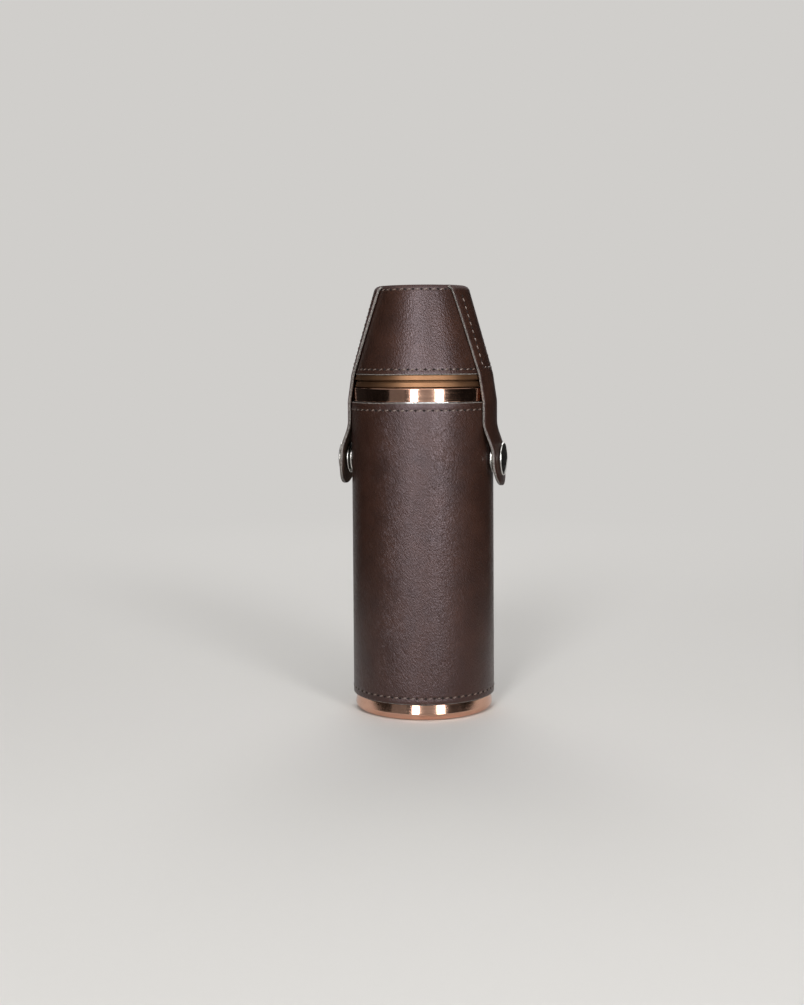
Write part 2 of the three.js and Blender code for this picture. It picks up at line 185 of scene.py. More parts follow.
def brown_calf(name, crease_depth, grain_depth):
    finish, tree, place = new_finish(name)
    grain_size = 0.5
    grain_length = 0.75
    crease_gap = 0.45
    crease_length = 4.0
    crease_patch = 18.0
    tone_patch = 9.0
    rim = high("hood_panel").z
    rub_reach = 2.2
    rub_full = 0.6
    lean = (0.0, 0.0, radians(31))
    sheet = add(tree, "UVMap", uv_map=sheet_map)
    pebbles = add(tree, "Mapping", {
        "Vector": sheet,
        "Rotation": lean,
        "Scale": (grain_size * mm, grain_length * mm, grain_size * mm),
    }, vector_type="TEXTURE")
    cells = add(tree, "TexVoronoi", {"Vector": pebbles, "Scale": 1.0})
    tones = add(tree, "TexNoise", {"Vector": place, "Scale": per(tone_patch), "Detail": 4.0})
    drawn = add(tree, "Mapping", {
        "Vector": sheet,
        "Rotation": lean,
        "Scale": (crease_gap * mm, crease_length * mm, crease_gap * mm),
    }, vector_type="TEXTURE")
    folds = add(tree, "TexNoise", {"Vector": drawn, "Scale": 1.0, "Detail": 1.0})
    off_ridge = add(tree, "Math", {0: folds, 1: 0.5}, operation="SUBTRACT")
    near_ridge = add(tree, "Math", {0: off_ridge}, operation="ABSOLUTE")
    crease = add(tree, "MapRange", {"Value": near_ridge, "From Max": 0.09})
    patches = add(tree, "TexNoise", {"Vector": place, "Scale": per(crease_patch), "Detail": 1.0})
    where = add(tree, "MapRange", {"Value": patches, "From Min": 0.3, "From Max": 0.7, "To Min": 0.45})
    crease_bump = add(tree, "Bump", {"Height": crease, "Strength": where, "Distance": crease_depth * mm})
    grain_bump = add(tree, "Bump", {
        "Height": cells,
        "Strength": 0.8,
        "Distance": grain_depth * mm,
        "Normal": crease_bump,
    }, invert=True)
    tone = add(tree, "ValToRGB", {"Fac": tones})
    dark_end, pale_end = tone.color_ramp.elements
    dark_end.position = 0.3
    dark_end.color = linear("#2a1912")
    pale_end.position = 0.72
    pale_end.color = linear("#362118")
    wax = add(tree, "MapRange", {
        "Value": cells,
        "From Min": 0.1,
        "From Max": 0.75,
        "To Min": 0.26,
        "To Max": 0.4,
    })
    height = add(tree, "SeparateXYZ", {"Vector": place}).outputs["Z"]
    rubbed = add(tree, "MapRange", {
        "Value": height,
        "From Min": (rim - rub_reach) * mm,
        "From Max": (rim - rub_full) * mm,
        "To Max": 0.5,
    })
    dulled = add(tree, "Math", {0: wax, 1: rubbed}, operation="ADD")
    return close_finish(finish, tree, {
        "Base Color": tone,
        "Roughness": dulled,
        "Normal": grain_bump,
        "IOR": 1.45,
        "Specular Tint": linear("#ffeef7"),
    })


calf = brown_calf("brown_calf_leather", crease_depth=0.045, grain_depth=0.08)
smooth_calf = brown_calf("smooth_calf_leather", crease_depth=0.02, grain_depth=0.1)

# %% [markdown]
# Where leather is cut, its undyed fibres show as a pale grey line, and its back is a dull brown suede.
# Both are matt and fibrous, so they share one recipe: two tones of noise, high roughness, and bump from
# a fine fibre noise. The pale line is one of the clearest features of this flask.

# %% Cut edge and suede back of the leather
def matt_finish(name, dark, pale, fibre_size):
    finish, tree, place = new_finish(name)
    fibres = add(tree, "TexNoise", {"Vector": place, "Scale": per(fibre_size), "Detail": 3.0})
    tone = add(tree, "ValToRGB", {"Fac": fibres})
    dark_end, pale_end = tone.color_ramp.elements
    dark_end.position = 0.32
    dark_end.color = linear(dark)
    pale_end.position = 0.68
    pale_end.color = linear(pale)
    nap = add(tree, "Bump", {"Height": fibres, "Strength": 0.6, "Distance": 0.1 * mm})
    return close_finish(finish, tree, {
        "Base Color": tone,
        "Roughness": 0.92,
        "Specular IOR Level": 0.2,
        "Normal": nap,
    })


cut_edge = matt_finish("cut_leather_edge", "#4a4642", "#87827d", fibre_size=0.6)
suede = matt_finish("suede_leather_back", "#4a382e", "#6b5545", fibre_size=0.35)

# %% [markdown]
# The sewing thread is bonded polyester in nearly the leather's own brown, with a slight silky shine.
# The needle leaves a small hole at each end of a stitch, and the shade inside it is painted: a dull
# near-black finish on a flat bead.

# %% Sewing thread and the painted shade of needle holes
def sewing_thread():
    finish, tree, place = new_finish("bonded_polyester_thread")
    ply_size = 0.25
    plies = add(tree, "TexNoise", {"Vector": place, "Scale": per(ply_size), "Detail": 2.0})
    tone = add(tree, "ValToRGB", {"Fac": plies})
    dark_end, pale_end = tone.color_ramp.elements
    dark_end.position = 0.35
    dark_end.color = linear("#43332b")
    pale_end.position = 0.65
    pale_end.color = linear("#705d51")
    twist = add(tree, "Bump", {"Height": plies, "Strength": 0.5, "Distance": 0.08 * mm})
    return close_finish(finish, tree, {
        "Base Color": tone,
        "Roughness": 0.5,
        "Normal": twist,
        "Sheen Weight": 0.2,
    })


thread = sewing_thread()
# The near-black finish is painted shade, standing in for the dark inside of a needle hole.
needle_hole_shade = matt_finish("painted_hole_shade", "#120c0a", "#211712", fibre_size=0.3)

# %% [markdown]
# The bands are steel plated with copper and polished to a mirror, and the cups have a browner satin plate
# whose colour is also painted far darker than copper's own, as painted shade.
# A mirror shows mostly what is around it, so the finish is simple: copper's tint, low roughness, faint
# wiping scratches that run round the turned pieces, and a very shallow waviness from pressing.
# The scratches are noise that changes fast along Z and slowly across it. Nickel and steel share the recipe.

# %% Plated and polished metals
def polished_metal(name, dark, pale, smooth, worn, scratch_size=0.16):
    finish, tree, place = new_finish(name)
    scratch_length = 14.0
    wave_size = 7.0
    wave_depth = 0.012
    lengthways = (per(scratch_length), per(scratch_length), per(scratch_size))
    stretched = add(tree, "Mapping", {"Vector": place, "Scale": lengthways})
    lines = add(tree, "TexNoise", {"Vector": stretched, "Scale": 1.0, "Detail": 3.0})
    smudges = add(tree, "TexNoise", {"Vector": place, "Scale": per(wave_size), "Detail": 2.0})
    tone = add(tree, "ValToRGB", {"Fac": smudges})
    dark_end, pale_end = tone.color_ramp.elements
    dark_end.position = 0.3
    dark_end.color = linear(dark)
    pale_end.position = 0.7
    pale_end.color = linear(pale)
    gloss = add(tree, "MapRange", {
        "Value": lines,
        "From Min": 0.45,
        "From Max": 0.75,
        "To Min": smooth,
        "To Max": worn,
    })
    wave = add(tree, "Bump", {"Height": smudges, "Strength": 0.4, "Distance": wave_depth * mm})
    fine = add(tree, "Bump", {"Height": lines, "Strength": 0.12, "Distance": 0.01 * mm, "Normal": wave})
    return close_finish(finish, tree, {
        "Base Color": tone,
        "Metallic": 1.0,
        "Roughness": gloss,
        "Normal": fine,
    })


copper = polished_metal("polished_copper_plate", "#cb9f88", "#d8ac96", smooth=0.09, worn=0.17)
# The cups' colour is partly their browner satin plate and partly painted shade, far darker than copper's
# own.
satin_copper_with_shade = polished_metal("satin_copper_plate_painted_shade", "#614632", "#70533d", smooth=0.48, worn=0.6)
nickel = polished_metal("nickel_plate", "#c2c1bd", "#d2d0cb", smooth=0.14, worn=0.26)
steel = polished_metal("stainless_steel", "#b0b1b2", "#c0c1c2", smooth=0.24, worn=0.4, scratch_size=0.1)

# %% [markdown]
# The washer inside the stopper is black rubber, moulded and matt, with a trace of talc that dulls it.

# %% Moulded rubber
rubber = matt_finish("moulded_black_rubber", "#1d1b18", "#2b2925", fibre_size=0.4)

# %% [markdown]
# Most pieces of the flask are round, so a half-section spun about the axis makes them.
# A lathe helper takes (radius, height) points in millimetres. Spin leaves doubled vertices on the axis,
# so they are merged before the normals are recalculated.

# %% Helpers for turned pieces
full_turn = 2 * pi
weld = 0.001 * mm
round_steps = 144
plain_steps = 96
support_gap = 0.08
long_straight = 0.64


def arc(centre_radius, centre_height, radius, start, end, steps=8):
    """Points of an arc in a half-section, angles in degrees from the outward direction."""
    angles = [radians(start + (end - start) * i / steps) for i in range(steps + 1)]
    return [(centre_radius + radius * cos(a), centre_height + radius * sin(a)) for a in angles]


def rounded(radius, height, size, start, steps):
    """A quarter round in place of a sharp corner, from its starting angle."""
    across = size if start in (-90, 0) else -size
    up = size if start in (0, 90) else -size
    return arc(radius - across, height - up, size, start, start + 90, steps)


def supported(section, closed=False):
    """Adds a point near both ends of each long straight, so that smooth shading keeps it straight."""
    outline = section + section[:1] if closed else section
    points = []
    for (first_radius, first_height), (radius, height) in zip(outline, outline[1:]):
        points.append((first_radius, first_height))
        length = hypot(radius - first_radius, height - first_height)
        if length > long_straight:
            for share in (support_gap / length, 1 - support_gap / length):
                between = first_radius + (radius - first_radius) * share
                points.append((between, first_height + (height - first_height) * share))
    return points if closed else points + section[-1:]


def lathe(section, closed=False, steps=round_steps, turn=full_turn):
    """Spins a half-section about Z; a closed section makes a ring, an open one a shell."""
    bm = bmesh.new()
    verts = [bm.verts.new((radius * mm, 0, height * mm)) for radius, height in section]
    edges = [bm.edges.new(pair) for pair in zip(verts, verts[1:])]
    if closed:
        edges.append(bm.edges.new((verts[-1], verts[0])))
    whole = turn == full_turn
    bmesh.ops.spin(bm, geom=verts + edges, axis=(0, 0, 1), angle=turn, steps=steps, use_merge=whole)
    bmesh.ops.remove_doubles(bm, verts=bm.verts, dist=weld)
    bmesh.ops.recalc_face_normals(bm, faces=bm.faces)
    return bm


# %% [markdown]
# A finished mesh becomes a piece that rides a body of the frame, takes its finishes and stands for its
# plain nodes. It is shaded smooth, except where two faces meet at a sharp corner.

# %% Helpers that make a mesh a piece
sharp_from = radians(35)


def new_mesh(name, bm):
    """The finished mesh of a bmesh, which is freed."""
    mesh = bpy.data.meshes.new(name)
    bm.to_mesh(mesh)
    bm.free()
    return mesh


def add_piece(name, bm, finishes, body=None, nodes=()):
    """A piece with its finishes; it rides a body unless none is given."""
    mesh = new_mesh(name, bm)
    for finish in finishes:
        mesh.materials.append(finish)
    mesh.shade_smooth()
    mesh.set_sharp_from_angle(angle=sharp_from)
    piece = new_object(name, mesh)
    if body:
        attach(piece, body)
    if nodes:
        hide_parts(*nodes)
    print("piece:", name, "with", len(mesh.polygons), "faces")
    return piece


# %% [markdown]
# The base pan is a shallow copper pressing: a band, a rounded lower corner, a flat foot and a raised middle.
# A plain cylinder would lack the corner, where the light runs in a thin bright line, so the section has a
# true arc there and on the lip. The band leans in a little towards its lip, as a pressing does to leave its
# die, and so it mirrors the lights rather than the floor.

# %% Base pan
pressed_wall = 0.5
band_radius = high("base_pan").x
band_inner = band_radius - pressed_wall
base_corner = 2.2
base_lean = 0.5
base_foot_width = 4.0
base_recess = 1.2
lip_round = 0.2

base_top = high("base_pan").z
base_corner_radius = band_radius - base_corner
foot_inner = base_corner_radius - base_foot_width
lip_centre = band_radius - base_lean - lip_round
lean_angle = degrees(atan(base_lean / (base_top - base_corner)))
base_section = [
    (0, base_recess),
    (foot_inner - base_recess, base_recess),
    *arc(foot_inner, base_recess / 2, base_recess / 2, 180, 270, 4),
    *arc(base_corner_radius, base_corner, base_corner, -90, lean_angle, 12),
    *arc(lip_centre, base_top - lip_round, lip_round, lean_angle, 90, 4),
    (band_inner - base_lean, base_top),
    *arc(base_corner_radius, base_corner, base_corner - pressed_wall, lean_angle, -90, 8),
    (foot_inner, pressed_wall),
    (foot_inner - base_recess, base_recess + pressed_wall),
    (0, base_recess + pressed_wall),
]
base_mesh = lathe(supported(base_section))
add_piece("base_pan_pressing", base_mesh, [copper], "flask", ["base_pan"])

# %% [markdown]
# The shoulder pressing closes the vessel's top. Its skirt is the copper collar that shows above the sleeve,
# and its flat shelf carries the lower cup. It is turned like the base, with a smooth rise to the neck's seat
# that starts and ends level.

# %% Shoulder and collar
collar_bottom = low("shoulder").z
collar_top = low("lower_cup").z - fit
collar_corner = 0.5
shelf_width = 3.4
neck_seat = high("shoulder").z
neck_wall = 1.1
neck_bore = 7.5
neck_radius = neck_bore + neck_wall
flange_radius = high("neck").x
shelf_inner = band_radius - shelf_width
seat_radius = flange_radius + fit
hole_radius = neck_radius + fit


def shoulder_rise(inset, steps=14):
    """The smooth rise from the shelf to the neck's seat, as points from outside inwards."""
    points = []
    for i in range(steps + 1):
        share = i / steps
        radius = shelf_inner + (seat_radius - shelf_inner) * share
        height = collar_top + (neck_seat - collar_top) * share * share * (3 - 2 * share)
        points.append((radius, height - inset))
    return points


shoulder_section = [
    (band_inner, collar_bottom),
    *rounded(band_radius, collar_bottom, lip_round, -90, 4),
    *rounded(band_radius, collar_top, collar_corner, 0, 6),
    *shoulder_rise(0),
    (hole_radius, neck_seat),
    (hole_radius, neck_seat - pressed_wall),
    *reversed(shoulder_rise(pressed_wall)),
    (band_inner, collar_top - pressed_wall),
]
shoulder_mesh = lathe(supported(shoulder_section, closed=True), closed=True)
add_piece("shoulder_pressing", shoulder_mesh, [copper], "flask", ["shoulder"])

# %% [markdown]
# Two equal cups hang upside down over the stopper. Each is a thin cone whose mouth is folded outwards into a
# narrow hem, and only the hems show below the hood. A hem has a round lower edge, a face that leans with the
# cone, and a round upper edge, so two arcs of one radius draw it.

# %% Cups
cone_slope = 0.28
cone_angle = atan(cone_slope)
cup_wall = 0.4
cup_base_thickness = 0.5
cup_base_corner = 1.5
hem_stand = 1.0
hem_round = 0.28
hem_height = 1.95


def cup_section(mouth, top, hem_outer):
    mouth_radius = hem_outer - hem_stand
    wall_across = cup_wall / cos(cone_angle)
    foot = top - cup_base_corner
    foot_radius = mouth_radius - (foot - mouth) * cone_slope
    inner_corner = cup_base_corner - cup_base_thickness
    hem_low = mouth + hem_round
    hem_high = mouth + hem_height - hem_round
    hem_centre = hem_outer - hem_round
    lean = degrees(cone_angle)
    return [
        (0, top - cup_base_thickness),
        *arc(foot_radius - wall_across - inner_corner, foot, inner_corner, 90, 0, 8),
        (mouth_radius - wall_across, mouth + hem_round),
        *arc(hem_centre, hem_low, hem_round, -110, lean, 10),
        *arc(hem_centre - (hem_high - hem_low) * cone_slope, hem_high, hem_round, lean, 100, 8),
        (mouth_radius - hem_height * cone_slope, mouth + hem_height),
        *rounded(foot_radius, top, cup_base_corner, 0, 8),
        (0, top),
    ]


for cup in ("lower_cup", "upper_cup"):
    cup_mesh = lathe(supported(cup_section(*upright(cup))))
    add_piece(cup + "_spun", cup_mesh, [satin_copper_with_shade], cup, [cup])

# %% [markdown]
# Under the cups is a steel neck with a screw thread, and a copper-plated stopper with a fluted grip.
# A screw thread is a spin that climbs: Blender's spin takes a vector that moves each step upwards, so a
# small section wound a little over twice round the neck makes the ridge.

# %% Neck with its thread
thread_pitch = 3.0
thread_depth = 0.8
thread_root = 1.5
thread_crest = 0.7
thread_inset = 1.9
thread_steps = 48
neck_bottom = low("neck").z
neck_top = high("neck").z
flange_low = neck_seat + fit
flange_thickness = 1.2
flange_top = flange_low + flange_thickness
flange_round = 0.3

neck_mesh = lathe([
    (neck_bore, neck_bottom),
    (neck_radius, neck_bottom),
    (neck_radius, flange_low),
    (flange_radius - flange_round, flange_low),
    *rounded(flange_radius, flange_low, flange_round, -90, 4),
    *rounded(flange_radius, flange_top, flange_round, 0, 4),
    (neck_radius, flange_top),
    *rounded(neck_radius, neck_top, flange_round, 0, 4),
    *rounded(neck_bore, neck_top, flange_round, 90, 4),
], closed=True, steps=plain_steps)
thread_foot = flange_top + thread_inset
thread_turns = (neck_top - flange_top - 2 * thread_inset) / thread_pitch
ridge = [
    (neck_radius - fit, thread_foot - thread_root / 2),
    (neck_radius + thread_depth, thread_foot - thread_crest / 2),
    (neck_radius + thread_depth, thread_foot + thread_crest / 2),
    (neck_radius - fit, thread_foot + thread_root / 2),
]
ridge_verts = [neck_mesh.verts.new((radius * mm, 0, height * mm)) for radius, height in ridge]
ridge_face = neck_mesh.faces.new(ridge_verts)
bmesh.ops.spin(
    neck_mesh,
    geom=[ridge_face],
    axis=(0, 0, 1),
    dvec=(0, 0, thread_pitch * mm / thread_steps),
    angle=full_turn * thread_turns,
    steps=round(thread_turns * thread_steps),
)
bmesh.ops.recalc_face_normals(neck_mesh, faces=neck_mesh.faces)
print("thread:", round(thread_turns, 2), "turns")
add_piece("threaded_neck", neck_mesh, [steel], "flask", ["neck"])

# %% [markdown]
# The stopper's grip has shallow flutes for the fingers. The shell is turned plain first, then its outer wall
# is pushed in by a wave that runs round the axis. The push fades out towards the rounded ends.

# %% Fluted stopper shell
flute_count = 24
flute_depth = 0.5
steps_per_flute = 8
shell_round = 0.7
flute_fade = 3 * shell_round
shell_bottom, shell_top, shell_radius = upright("stopper_shell")
shell_bore = high("stopper_liner").x + fit
shell_ceiling = high("stopper_liner").z + fit
flute_low = shell_bottom + shell_round
flute_high = shell_top - shell_round
wall_steps = 14
dish_radius = 8.0
dish_depth = 0.25

flute_length = flute_high - flute_low
wall_heights = [flute_low + flute_length * i / wall_steps for i in range(1, wall_steps)]
shell_mesh = lathe([
    (0, shell_ceiling),
    (shell_bore, shell_ceiling),
    (shell_bore, shell_bottom),
    *rounded(shell_radius, shell_bottom, shell_round, -90, 5),
    *[(shell_radius, height) for height in wall_heights],
    *rounded(shell_radius, shell_top, shell_round, 0, 5),
    (dish_radius, shell_top),
    (dish_radius - dish_depth, shell_top - dish_depth),
    (0, shell_top - dish_depth),
], steps=steps_per_flute * flute_count)
for vert in shell_mesh.verts:
    radius = hypot(vert.co.x, vert.co.y) / mm
    height = vert.co.z / mm
    if radius > shell_radius - shell_round:
        edge = min(height - shell_bottom, shell_top - height)
        fade = min(1, max(0, edge / flute_fade))
        turn = flute_count * Vector((vert.co.x, vert.co.y)).angle_signed(Vector((1, 0)))
        push = flute_depth / 2 * fade * (cos(turn) - 1)
        vert.co.xy *= 1 + push / radius
add_piece("stopper_grip", shell_mesh, [copper], "stopper", ["stopper_shell"])

# %% [markdown]
# Every leather piece starts as a sheet of one layer, as it does on the cutting table, and is then thickened.
# The new faces fall into three kinds: the grain side, the suede back, and the cut edge between them. Those
# take the three leather finishes, and the corners of the cut edge are rounded with a small bevel.

# %% Helper that thickens a sheet of leather
grain_side, edge_side, back_side = 0, 1, 2
sleeve_finishes = [calf, cut_edge, suede]
hood_finishes = [smooth_calf, cut_edge, suede]
edge_round = 0.24


def thicken(bm, thickness, keep_sharp=lambda edge: False, keep_brown=lambda face: False):
    """Thickens a sheet inwards, sorts its faces into the three finishes and rounds its cut edges."""
    bm.normal_update()
    outside = set(bm.verts)
    bmesh.ops.solidify(bm, geom=list(bm.faces), thickness=thickness * mm)
    for face in bm.faces:
        shared = sum(vert in outside for vert in face.verts)
        whole = shared == len(face.verts)
        face.material_index = grain_side if whole else edge_side if shared else back_side
    corners = []
    for edge in bm.edges:
        cut_faces = [face for face in edge.link_faces if face.material_index == edge_side]
        if len(cut_faces) == 1 and not keep_sharp(edge):
            corners.append(edge)
    bevelled = bmesh.ops.bevel(
        bm, geom=corners, offset=edge_round * mm, affect="EDGES", segments=2, profile=0.5, material=-1,
    )
    for face in bevelled["faces"]:
        face.material_index = grain_side if keep_brown(face) else edge_side
    return bm


# %% [markdown]
# The grain has to lean the same way all round, so every piece of leather gets a UV map that notes where its
# corners lay on the flat sheet. For a wrapped piece that means rolling it out from the back.

# %% Helpers that lay leather out flat
def lay_flat(bm, flat):
    """Gives leather its UV map in metres; flat places a corner of the face that lies round a middle."""
    layer = bm.loops.layers.uv.new(sheet_map)
    for face in bm.faces:
        middle = face.calc_center_median()
        for loop in face.loops:
            loop[layer].uv = flat(loop.vert.co, middle)


def rolled_out(corner, middle):
    """A wrapped piece, cut open at the back and rolled out to both sides."""
    heading = atan2(middle.x, -middle.y)
    beyond = (atan2(corner.x, -corner.y) - heading + pi) % full_turn - pi
    return (heading + beyond) * hypot(corner.x, corner.y), corner.z


# %% [markdown]
# Thread pulls leather in, so a sewn row lies in a shallow groove. One helper gives the depth of the grooves
# at a height. Another spaces the heights of a section, finely across the grooves and coarsely between them.

# %% Helpers for sewn rows
dip_depth = 0.06
dip_half = 1.0
dip_steps = 8


def sewn_dip(height, rows):
    """How far the thread of a sewn row pulls the leather in, at a height."""
    dip = 0
    for row in rows:
        off = abs(height - row) / dip_half
        if off < 1:
            dip += dip_depth * (1 + cos(pi * off)) / 2
    return dip


def spaced(start, end, steps):
    """Heights at equal steps from a start, which is left out, to an end."""
    return [start + (end - start) * i / steps for i in range(1, steps + 1)]


def row_heights(bottom, top, rows, plain_step):
    """Heights for a section: fine across the sewn rows, coarse between them."""
    heights = [bottom]
    for row in rows:
        first = row - dip_half
        gap_steps = max(1, round((first - heights[-1]) / plain_step))
        heights += spaced(heights[-1], first, gap_steps)
        heights += spaced(first, row + dip_half, dip_steps)
    gap_steps = max(1, round((top - heights[-1]) / plain_step))
    return heights + spaced(heights[-1], top, gap_steps)


# %% [markdown]
# The sleeve is one rectangle of leather wrapped round the vessel, with a butt seam at the back.
# A full cylinder would hide the seam, so the section is spun a little less than a whole turn and the gap is
# turned to the back. The leather dips where the two sewn rows pull it in.

# %% Body sleeve
sleeve_bottom, sleeve_top, sleeve_radius = upright("body_sleeve")
sleeve_thickness = 1.3
seam_gap = 0.4
sleeve_rows = (sleeve_bottom + 2.4, sleeve_top - 2.7)

seam_angle = seam_gap / sleeve_radius
sleeve_heights = row_heights(sleeve_bottom, sleeve_top, sleeve_rows, plain_step=5.0)
sleeve_section = [(sleeve_radius - sewn_dip(height, sleeve_rows), height) for height in sleeve_heights]
sleeve_mesh = lathe(sleeve_section, turn=full_turn - seam_angle)
seam_turn = Matrix.Rotation(pi / 2 + seam_angle / 2, 4, "Z")
bmesh.ops.transform(sleeve_mesh, matrix=seam_turn, verts=sleeve_mesh.verts)
thicken(sleeve_mesh, sleeve_thickness)
lay_flat(sleeve_mesh, rolled_out)
add_piece("leather_sleeve", sleeve_mesh, sleeve_finishes, "flask", ["body_sleeve"])

# %% [markdown]
# The hood's side is a cone of leather that follows the upper cup. Its rim is notched on both sides, so that
# the strap passes over flush with it. The cone is spun, the notches are cut by planes and their faces
# deleted, and only then is the sheet thickened, so that the notches get cut edges too.

# %% Hood side
hood_bottom, hood_rim, hood_bottom_radius = upright("hood_panel")
hood_thickness = 1.1
hood_rows = (hood_bottom + 1.9, hood_rim - 1.7)
strap_half = high("strap_end_right").y
notch_half = strap_half + fit
notch_bottom = high("hood_top").z


def hood_radius(height):
    return hood_bottom_radius - (height - hood_bottom) * cone_slope


hood_heights = row_heights(hood_bottom, hood_rim, hood_rows, plain_step=3.0)
hood_section = [(hood_radius(height) - sewn_dip(height, hood_rows), height) for height in hood_heights]
hood_mesh = lathe(hood_section)
cuts = (
    ((0, notch_half, 0), (0, 1, 0)),
    ((0, -notch_half, 0), (0, 1, 0)),
    ((0, 0, notch_bottom), (0, 0, 1)),
)
for point, normal in cuts:
    whole_mesh = hood_mesh.verts[:] + hood_mesh.edges[:] + hood_mesh.faces[:]
    bmesh.ops.bisect_plane(hood_mesh, geom=whole_mesh, plane_co=Vector(point) * mm, plane_no=normal)
notches = []
for face in hood_mesh.faces:
    middle = face.calc_center_median() / mm
    if abs(middle.y) < notch_half and middle.z > notch_bottom:
        notches.append(face)
bmesh.ops.delete(hood_mesh, geom=notches, context="FACES")
bmesh.ops.recalc_face_normals(hood_mesh, faces=hood_mesh.faces)
thicken(hood_mesh, hood_thickness, keep_brown=lambda face: face.calc_center_median().z > notch_bottom * mm)
lay_flat(hood_mesh, rolled_out)
add_piece("leather_hood", hood_mesh, hood_finishes, "hood", ["hood_panel"])

# %% [markdown]
# The hood's top is a leather disc set a little below the rim. A disc of cut leather is not quite flat: it
# dishes slightly in the middle, which the section draws as a shallow curve.

# %% Hood top
disc_low, disc_high, disc_outer = upright("hood_top")
disc_radius = disc_outer - fit
disc_round = 0.4
disc_dish = 0.25
dish_rings = 10

dish_points = []
for i in range(dish_rings, -1, -1):
    share = i / dish_rings
    dish_points.append(((disc_radius - 2 * disc_round) * share, disc_high - disc_dish * (1 - share * share)))
disc_mesh = lathe([
    (0, disc_low),
    *rounded(disc_radius, disc_low, disc_round, -90, 4),
    *rounded(disc_radius, disc_high, disc_round, 0, 4),
    *dish_points,
], steps=plain_steps)
lay_flat(disc_mesh, lambda corner, middle: corner.xy)
add_piece("leather_hood_top", disc_mesh, [smooth_calf], "hood", ["hood_top"])

# %% [markdown]
# One strap runs over the hood and down both sides to the press studs. It is modelled as two halves that meet
# at the top, because each half has to bend with its own joint when its end is pulled open.
# A flat grid is laid along the strap's path: over the top, round the bend, down the cone, onto the sleeve,
# and out over the stud to a round tip. Each row of the grid is one place on that path. The rows lie closest
# together at the hood's lower edge, where the strap bends when it is opened.

# %% Path of the strap
def stud_part(node):
    """Where a part of a press stud starts and ends along X, and its radius."""
    return low(node).x, high(node).x, (high(node).z - low(node).z) / 2


strap_thickness = 1.2
strap_bend = 1.2
strap_flare = 0.4
strap_end_top = high("strap_end_right").z
strap_tip = low("strap_end_right").z
strap_peak = high("strap_over_hood").z
strap_top = strap_peak - strap_thickness
snap_height = (low("snap_cap_right").z + high("snap_cap_right").z) / 2
cap_low, cap_top, cap_radius = stud_part("snap_cap_right")
socket_low, socket_high, socket_radius = stud_part("snap_socket_right")
grip_radius = sleeve_radius + fit
snap_reach = hypot(cap_low, socket_radius)
lift_run = 8.7
lift_from = snap_height + socket_radius + lift_run
lift_length = 1.5 * lift_run
strap_gap = fit / cos(cone_angle)


def smoothstep(value):
    share = min(1, max(0, value))
    return share * share * (3 - 2 * share)


def strap_lift(height):
    """How far the strap has risen from the sleeve to the stud, from 0 to 1."""
    return smoothstep((lift_from - height) / lift_length)


def strap_inner(height):
    """Distance of the strap's back from the axis of the flask, below the bend."""
    if height > strap_end_top:
        return hood_radius(height) + strap_gap
    down = min(1, (strap_end_top - height) / (strap_end_top - sleeve_top))
    break_radius = hood_radius(strap_end_top) + strap_gap
    resting = break_radius + (grip_radius - break_radius) * down
    flare = strap_flare * max(0, (snap_height - height) / (snap_height - strap_tip))
    return resting + (snap_reach - grip_radius) * strap_lift(height) + flare


bend_height = strap_top - strap_bend
bend_foot = bend_height + strap_bend * sin(cone_angle)
bend_centre = strap_inner(bend_foot) - strap_bend * cos(cone_angle)
fold_top = strap_end_top + 2.6
fold_bottom = strap_end_top - 3.4
flat_steps = 9
strap_rows = [(bend_centre, strap_top, i / flat_steps) for i in range(flat_steps)]
bend = arc(bend_centre, bend_height, strap_bend, 90, degrees(cone_angle), 6)
strap_rows += [(radius, height, 1) for radius, height in bend]
spans = ((bend_foot, fold_top, 20), (fold_top, fold_bottom, 14), (fold_bottom, snap_height, 24))
for start, end, steps in spans:
    strap_rows += [(strap_inner(height), height, 1) for height in spaced(start, end, steps)]
print("strap rows:", len(strap_rows), "from", round(strap_top, 2), "mm down to", round(snap_height, 2), "mm")

# %% [markdown]
# The corners of the grid move onto the path, and the last rows close into the round tip. The rows curve with
# the hood and flatten at the stud, because its cap and socket clamp the leather. The sheet is pushed out by
# its thickness before it is thickened inwards, so its back lies along the path.

# %% Shape of one strap half
across_steps = 16
tip_steps = 10
clamp_share = 0.5


def strap_vertex(step, across):
    """Where a corner of the flat grid comes to lie; across runs from -1 to 1."""
    if step < len(strap_rows):
        radius, height, share = strap_rows[step]
        y = strap_half * across
    else:
        along = (step - len(strap_rows) + 1) / tip_steps
        y = strap_half * across * sqrt(1 - along * along / 2)
        height = snap_height - strap_half * along * sqrt(1 - across * across / 2)
        radius, share = strap_inner(height), 1
    curved = sqrt(radius * radius - y * y)
    clamped = clamp_share * strap_lift(height)
    return Vector(((curved + (radius - curved) * clamped) * share, y, height)) * mm


def strap_flat(corner, middle):
    """The strap straightened out: its width, and its length from the middle of the hood's top."""
    return corner.y, copysign(abs(corner.x) + strap_peak * mm - corner.z, middle.x)


def strap_mesh():
    """One half of the strap, on the right-hand side."""
    steps = len(strap_rows) - 1 + tip_steps
    bm = bmesh.new()
    bmesh.ops.create_grid(bm, x_segments=steps, y_segments=across_steps, size=1)
    for vert in bm.verts:
        vert.co = strap_vertex(round((vert.co.x + 1) / 2 * steps), vert.co.y)
    bm.normal_update()
    top_face = max(bm.faces, key=lambda face: face.calc_center_median().z)
    if top_face.normal.z < 0:
        bmesh.ops.reverse_faces(bm, faces=bm.faces)
        bm.normal_update()
    for vert in bm.verts:
        vert.co += vert.normal * strap_thickness * mm
    middle = fit * mm
    return thicken(
        bm,
        strap_thickness,
        keep_sharp=lambda edge: all(vert.co.x < middle for vert in edge.verts),
        keep_brown=lambda face: True,
    )


# %% [markdown]
# The left half is the right one turned half round.

# %% Strap halves
sides = {"right": 1, "left": -1}

